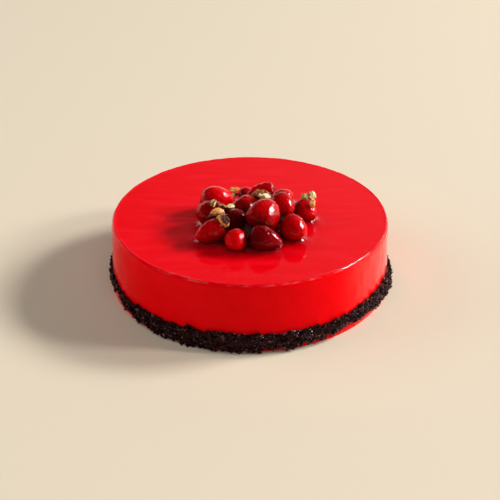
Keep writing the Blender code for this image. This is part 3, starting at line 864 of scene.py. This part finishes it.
seed_centres, seed_axes = np.vstack(seed_centres), np.vstack(seed_axes)
seed_mesh = scattered(
    "strawberry_seeds",
    seed_centres,
    seed_axes * np.array(SEED_FORM)[:, None],
    np.ones((len(seed_centres), LUMP_CORNERS)),
)
seed_mesh.shade_smooth()
piece("strawberry_seeds", seed_mesh, seed_coat, "strawberry")


# Pistachios. Kernels chopped by hand and strewn on the wet fruit: chips with flat pale cuts and a
# green or brown skin between them, and the thin curled skins of half kernels.
# Each is (length, width, height, heading, tilt, kind, slot, skin tone, cut tone) and lies in its
# solid's place.
NUTS = (
    (0.0062, 0.0045, 0.0042, 80, 35, "chip", "pistachio", 0.30, 0.75),
    (0.0115, 0.0055, 0.0040, 5, 0, "half", "pistachio_skin", 0.85, 0.35),
    (0.0105, 0.0070, 0.0050, -40, -35, "half", "pistachio_skin", 0.05, 0.70),
    (0.0060, 0.0050, 0.0042, 20, 0, "chip", "pistachio", 0.20, 0.95),
    (0.0070, 0.0036, 0.0030, -10, 0, "chip", "pistachio_skin", 0.15, 0.50),
    (0.0095, 0.0050, 0.0034, 5, 0, "chip", "pistachio_skin", 0.52, 0.64),
    (0.0050, 0.0042, 0.0036, 40, 0, "chip", "pistachio", 0.25, 0.70),
    (0.0125, 0.0058, 0.0034, -15, 0, "half", "pistachio_skin", 0.40, 0.25),
    (0.0100, 0.0066, 0.0052, -10, 0, "chip", "pistachio", 0.55, 1.0),
    (0.0058, 0.0048, 0.0040, 30, 0, "chip", "pistachio", 0.50, 0.95),
    (0.0062, 0.0050, 0.0046, 80, 20, "chip", "pistachio", 0.65, 0.98),
    (0.0052, 0.0042, 0.0040, 60, 0, "chip", "pistachio_skin", 0.65, 0.90),
)
# Each one's size against its solid's box, as its corners are torn.
FULLNESS = (1.12, 1.12, 1.0, 1.12, 1.12, 1.12, 1.12, 1.12, 1.12, 1.3, 1.3, 1.3)
NUT_ROWS = 44
NUT_COLUMNS = 64
CHIP_DRAW, CHIP_TEAR_DRAW = 200, 500  # seeds of random draws, plus the nut's number
HALF_DRAW, HALF_TEAR_DRAW = 300, 600
CHIP_TEARS, CHIP_WAVES = 0.16, (1.2, 0.20, 40)
HALF_TEARS, HALF_WAVES = 0.11, (1.2, 0.22, 40)
NUT_CUTS = 6
CUT_DEPTH = (0.55, 0.85)
CUT_KEEP = 0.04  # the share of what lies beyond a cut that stays, which rounds it a little
CUT_EDGE = 12  # the higher, the sharper the line between the skin and a cut
SKIN_CURL = 0.12
SKIN_SAG = 0.25
SKIN_WALL = 0.2
SKIN_OPENING = 92  # degrees from its crown to its edge
SKIN_EDGE = (1.6, 2.0)  # the edge's share of the cut tone, and how fast it falls towards the crown
KERNEL_TONES = (
    (0.0, (0.060, 0.018, 0.006)),
    (0.28, (0.20, 0.13, 0.020)),
    (0.62, (0.55, 0.38, 0.11)),
    (1.0, (0.92, 0.70, 0.40)),
)
SKIN_TONES = (
    (0.0, (0.045, 0.010, 0.006)),
    (0.35, (0.30, 0.095, 0.055)),
    (0.65, (0.82, 0.33, 0.07)),
    (1.0, (0.95, 0.55, 0.20)),
)
FLECK_SIZE, FLECK_ROUGHNESS, FLECKS = 0.0020, 0.65, 1.5
WRINKLE_SIZE, WRINKLE_HEIGHT = 0.0006, 0.00025


def ball(polar, around):
    """Points of a unit ball, `polar` from its top."""
    sine = np.sin(polar)
    return np.stack([sine * np.cos(around), sine * np.sin(around), np.cos(polar) + 0 * around], -1)


def chip(number, length, width, height):
    """A chip's points and how cut each is. A ball's points that lie beyond each of several random
    planes are moved back nearly onto it, then torn in and out by waves, and stretched."""
    draw = random.Random(CHIP_DRAW + number)
    polar = np.linspace(0, math.pi, NUT_ROWS + 2)[1:-1, None]
    points = np.vstack([ball(polar, nut_around).reshape(-1, 3), [(0, 0, 1), (0, 0, -1)]])
    cut = np.zeros(len(points))
    for _ in range(NUT_CUTS):
        normal = np.array([draw.gauss(0, 1) for _ in range(3)])
        normal /= np.linalg.norm(normal)
        beyond = np.maximum(points @ normal - draw.uniform(*CUT_DEPTH), 0)
        points -= (1 - CUT_KEEP) * beyond[:, None] * normal
        cut = np.maximum(cut, np.clip(beyond * CUT_EDGE, 0, 1))
    points *= 1 + CHIP_TEARS * ripples(points, CHIP_TEAR_DRAW + number, *CHIP_WAVES)[:, None]
    return points * (length / 2, width / 2, height / 2), cut


def half_skin(number, length, width, height):
    """A half skin's points and how near its edge each is. A bowl's points, its crown up, curled by
    a wave that goes twice round, sagging towards both ends, and torn in and out by waves."""
    phase = random.Random(HALF_DRAW + number).uniform(0, math.tau)
    polar = np.linspace(0, math.radians(SKIN_OPENING), NUT_ROWS + 1)[1:, None]
    bowl = np.vstack([ball(polar, nut_around).reshape(-1, 3), [(0, 0, 1)]])
    curl = 1 + SKIN_CURL * np.sin(2 * np.arctan2(bowl[:, 1], bowl[:, 0]) + phase)
    points = np.stack([
        bowl[:, 0] * length / 2 * curl,
        bowl[:, 1] * width / 2,
        (bowl[:, 2] * curl - SKIN_SAG * bowl[:, 0] ** 2) * height,
    ], axis=-1)
    points *= 1 + HALF_TEARS * ripples(bowl, HALF_TEAR_DRAW + number, *HALF_WAVES)[:, None]
    return points, np.clip(SKIN_EDGE[0] - SKIN_EDGE[1] * bowl[:, 2], 0, 1)


nut_finishes = {}
for name, tones in (("pistachio", KERNEL_TONES), ("pistachio_skin", SKIN_TONES)):
    kernel = Finish(bpy.data.materials.new(name))
    fleck = kernel.noise(kernel.place(), FLECK_SIZE, 4, FLECK_ROUGHNESS)
    tone = kernel.attribute("tone") + (fleck - 0.5) * FLECKS
    colour = kernel.node("ShaderNodeValToRGB", {"stops": tones}, {"Fac": tone})
    kernel.set(Base_Color=colour, Roughness=0.45, IOR=1.3)
    kernel.bump(kernel.noise(kernel.place(), WRINKLE_SIZE, 3), WRINKLE_HEIGHT)
    nut_finishes[name] = kernel

nut_around = np.linspace(0, math.tau, NUT_COLUMNS, endpoint=False)[None, :]
for number, nut in enumerate(NUTS, start=1):
    length, width, height, heading, tilt, kind, slot, skin_tone, cut_tone = nut
    shape = chip if kind == "chip" else half_skin
    points, cut = shape(number, length, width, height)
    turned = Euler((0.0, math.radians(-tilt), math.radians(heading))).to_matrix()
    points = points @ np.array(turned).T
    low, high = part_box(f"nut_{number}")
    middle = (points.max(axis=0) + points.min(axis=0)) / 2
    fullness = FULLNESS[number - 1] * np.array(high - low) / (points.max(axis=0) - points.min(axis=0))
    points = (points - middle) * fullness + np.array(high + low) / 2
    rings = points[:NUT_ROWS * NUT_COLUMNS].reshape(NUT_ROWS, NUT_COLUMNS, 3)
    bottom = points[-1] if kind == "chip" else None
    nut_mesh = closed_mesh(f"kernel_{number}", rings, points[NUT_ROWS * NUT_COLUMNS], bottom)
    store(nut_mesh, "tone", skin_tone + (cut_tone - skin_tone) * cut)
    kernel_piece = piece(f"kernel_{number}", nut_mesh, nut_finishes[slot], slot, f"nut_{number}")
    if kind == "half":
        wall = kernel_piece.modifiers.new("Wall", "SOLIDIFY")
        wall.thickness = SKIN_WALL * width
        wall.offset = -1.0
